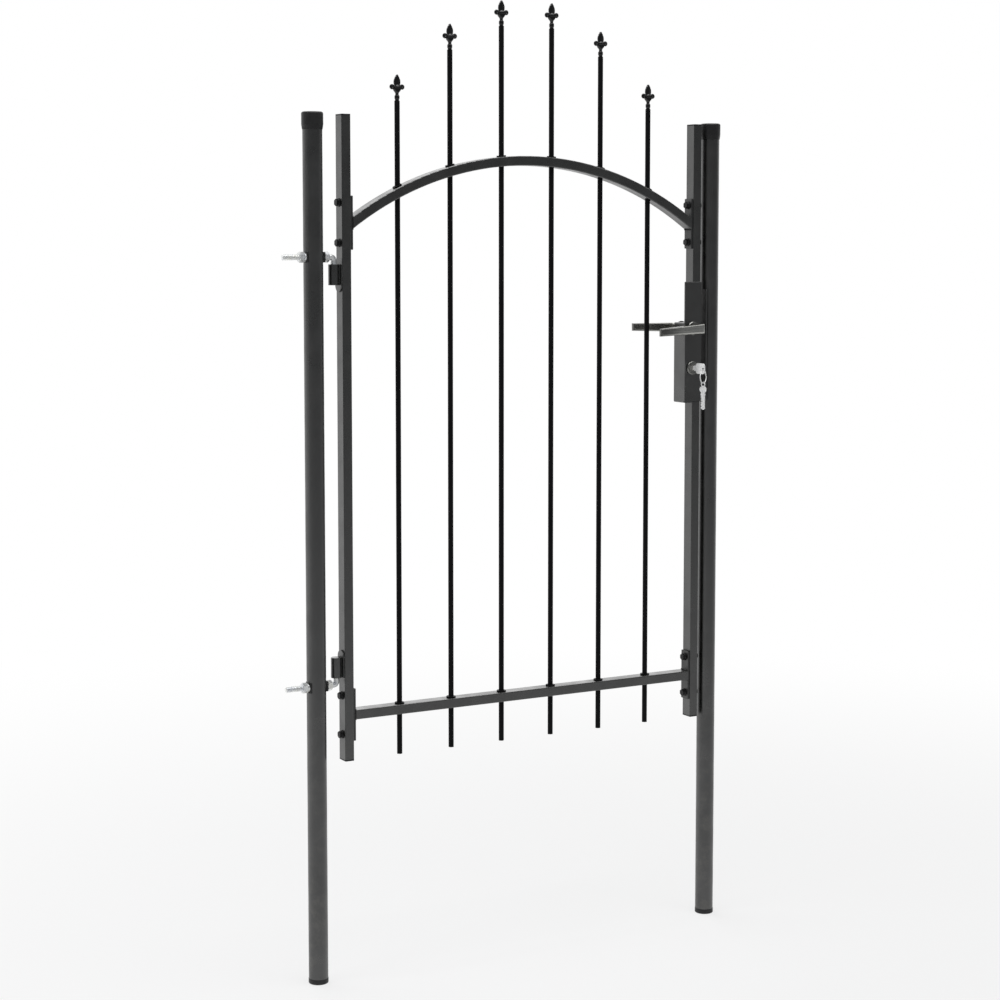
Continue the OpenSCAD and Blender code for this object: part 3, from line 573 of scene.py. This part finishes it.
def weld_bead(name, body, slot, start, end, width=0.004):
    """A run of overlapping weld ripples from one point to another."""
    run = Vector(end) - Vector(start)
    bpy.ops.mesh.primitive_uv_sphere_add(segments=12, ring_count=8, radius=width / 2, location=start)
    made = settled(name)
    open_up(made)
    bpy.ops.mesh.select_all(action="SELECT")
    flat = [0.5 if abs(run[i]) > 0.5 * run.length else 1.0 for i in range(3)]
    bpy.ops.transform.resize(value=flat, center_override=start)
    close_up()
    pick(made)
    ripples = made.modifiers.new("ripples", "ARRAY")
    ripples.count = max(2, round(run.length / RIPPLE_STEP) + 1)
    ripples.use_relative_offset = False
    ripples.use_constant_offset = True
    ripples.constant_offset_displace = run / (ripples.count - 1)
    apply_all(made)
    piece(made, body, weld_coat, slot)


def weld_beads():
    for name, low, high in (("lower", 0.633, 0.675), ("upper", 1.4345, 1.4765)):
        for side, y in (("front", -1.0), ("back", 1.0)):
            weld_bead("%s_barrel_weld_%s" % (name, side), "leaf", "frame_steel",
                      (0.0541, y * 0.0062, low + 0.001), (0.0541, y * 0.0062, high - 0.001), 0.0038)
            weld_bead("%s_tab_weld_%s" % (name, side), "leaf", "frame_steel",
                      (0.0572, y * 0.0139, low + 0.001), (0.0572, y * 0.0139, high - 0.001), 0.0026)
    for name, x in (("hinge_end", 0.0829), ("latch_end", 0.9046)):
        for level, z in (("rail_top", 0.5643), ("rail_under", 0.5437), ("arch_top", 1.5725),
                         ("arch_under", 1.5472)):
            weld_bead("%s_%s_weld" % (name, level), "leaf", "frame_steel", (x, -0.0118, z),
                      (x, 0.0118, z), 0.0034)
    for i, z in enumerate((1.178, 1.272, 1.367)):
        for side, y in (("front", -0.0068), ("back", 0.0068)):
            weld_bead("keeper_weld_%s_%d" % (side, i + 1), "posts", "post_tube", (0.9436, y, z),
                      (0.9436, y, z + 0.04), 0.0034)
    for name, z in (("top", 1.4332), ("foot", 1.1688)):
        weld_bead("lock_plate_weld_%s" % name, "leaf", "lock_steel", (0.9118, -0.0152, z),
                  (0.9282, -0.0152, z), 0.0028)


cast_finials()
hook_bolts()
split_ring()
weld_beads()


# ---------------------------------------------------------------- studio

def camera():
    data = bpy.data.cameras.new("camera")
    made = bpy.data.objects.new("camera", data)
    scene.collection.objects.link(made)
    data.lens = 78.82
    data.sensor_width = 36.0
    data.shift_y = -0.07
    data.clip_end = 100.0
    made.location = (-1.8387, -4.0123, 1.5344)
    made.rotation_euler = (math.radians(84.922), 0.0, math.radians(-29.482))
    scene.camera = made


def soft_light(name, at, towards, size, watts, mirrored=False):
    data = bpy.data.lights.new(name, "AREA")
    data.shape = "RECTANGLE"
    data.size, data.size_y = size
    data.energy = watts
    made = bpy.data.objects.new(name, data)
    scene.collection.objects.link(made)
    made.location = at
    made.rotation_euler = (Vector(towards) - Vector(at)).to_track_quat("-Z", "Y").to_euler()
    made.visible_camera = False
    made.visible_glossy = mirrored


def studio():
    world = bpy.data.worlds.new("studio")
    scene.world = world
    world.use_nodes = True
    tree = world.node_tree
    tree.nodes.clear()
    out = tree.nodes.new("ShaderNodeOutputWorld")
    soft = tree.nodes.new("ShaderNodeBackground")
    white = tree.nodes.new("ShaderNodeBackground")
    soft.inputs["Color"].default_value = (0.93, 0.96, 1.0, 1.0)
    soft.inputs["Strength"].default_value = 0.16
    white.inputs["Color"].default_value = (1.0, 1.0, 1.0, 1.0)
    ray = tree.nodes.new("ShaderNodeLightPath")
    way = tree.nodes.new("ShaderNodeTexCoord")
    bright_side = tree.nodes.new("ShaderNodeVectorMath")
    bright_side.operation = "DOT_PRODUCT"
    bright_side.inputs[1].default_value = (0.35, 0.94, 0.5)
    tree.links.new(way.outputs["Generated"], bright_side.inputs[0])
    dim_front = tree.nodes.new("ShaderNodeMapRange")
    dim_front.interpolation_type = "SMOOTHSTEP"
    for key, number in (("From Min", -0.1), ("From Max", 0.65), ("To Min", 0.07), ("To Max", 1.0)):
        dim_front.inputs[key].default_value = number
    tree.links.new(bright_side.outputs["Value"], dim_front.inputs["Value"])
    window = tree.nodes.new("ShaderNodeMapRange")
    window.interpolation_type = "SMOOTHSTEP"
    for key, number in (("From Min", 1.0), ("From Max", 1.08), ("To Min", 0.0), ("To Max", 0.75)):
        window.inputs[key].default_value = number
    tree.links.new(bright_side.outputs["Value"], window.inputs["Value"])
    strength = tree.nodes.new("ShaderNodeMath")
    strength.operation = "MULTIPLY_ADD"
    strength.inputs[2].default_value = 1.0
    tree.links.new(window.outputs["Result"], strength.inputs[0])
    tree.links.new(ray.outputs["Is Glossy Ray"], strength.inputs[1])
    tree.links.new(strength.outputs[0], white.inputs["Strength"])
    mirrored = tree.nodes.new("ShaderNodeMath")
    mirrored.operation = "MULTIPLY"
    tree.links.new(ray.outputs["Is Glossy Ray"], mirrored.inputs[0])
    tree.links.new(dim_front.outputs["Result"], mirrored.inputs[1])
    shown = tree.nodes.new("ShaderNodeMath")
    shown.operation = "MAXIMUM"
    tree.links.new(ray.outputs["Is Camera Ray"], shown.inputs[0])
    tree.links.new(mirrored.outputs[0], shown.inputs[1])
    mix = tree.nodes.new("ShaderNodeMixShader")
    tree.links.new(shown.outputs[0], mix.inputs["Fac"])
    tree.links.new(soft.outputs[0], mix.inputs[1])
    tree.links.new(white.outputs[0], mix.inputs[2])
    tree.links.new(mix.outputs[0], out.inputs["Surface"])

    middle = (0.48, 0.0, 1.0)
    soft_light("back_softbox", (-0.8, 4.6, 2.6), middle, (6.5, 4.2), 150.0)
    soft_light("left_softbox", (-4.2, -0.4, 2.2), middle, (2.6, 3.0), 60.0)
    soft_light("top_softbox", (0.5, -1.0, 4.8), middle, (3.4, 3.0), 110.0, mirrored=True)


def floor():
    bpy.ops.mesh.primitive_plane_add(size=60.0, location=(0.48, 0.0, -0.0002))
    made = bpy.context.object
    made.name = "floor"
    made.data.transform(made.matrix_basis)
    made.matrix_basis.identity()
    f = Finish("floor_white")
    f.shader.inputs["Base Color"].default_value = (0.86, 0.86, 0.86, 1.0)
    f.shader.inputs["Roughness"].default_value = 0.9
    glow = f.node("ShaderNodeEmission")
    glow.inputs["Color"].default_value = (1.0, 1.0, 1.0, 1.0)
    glow.inputs["Strength"].default_value = 1.0
    from_gate = f.node("ShaderNodeVectorMath", operation="DISTANCE")
    from_gate.inputs[1].default_value = (0.48, 0.0, 0.0)
    f.join(f.where, from_gate.inputs[0])
    share = f.spread(from_gate.outputs["Value"], 0.7, 3.6, 0.72, 1.0)
    ray = f.node("ShaderNodeLightPath")
    mix = f.node("ShaderNodeMixShader")
    shown = f.times(share, ray.outputs["Is Camera Ray"])
    cut = f.node("ShaderNodeSeparateXYZ")
    f.join(f.where, cut.inputs["Vector"])
    in_front = f.spread(cut.outputs["Y"], -12.0, -1.5, 0.1, 0.36)
    behind = f.spread(cut.outputs["Y"], -1.0, 1.0, 0.0, 0.64)
    near = f.times(in_front, behind, "ADD")
    mirrored = f.times(near, ray.outputs["Is Glossy Ray"])
    f.join(f.times(shown, mirrored, "MAXIMUM"), mix.inputs["Fac"])
    f.join(f.shader.outputs[0], mix.inputs[1])
    f.join(glow.outputs[0], mix.inputs[2])
    f.join(mix.outputs[0], f.tree.nodes["Material Output"].inputs["Surface"])
    dress(made, f.mat)


camera()
studio()
floor()
scene.view_settings.view_transform = "Standard"
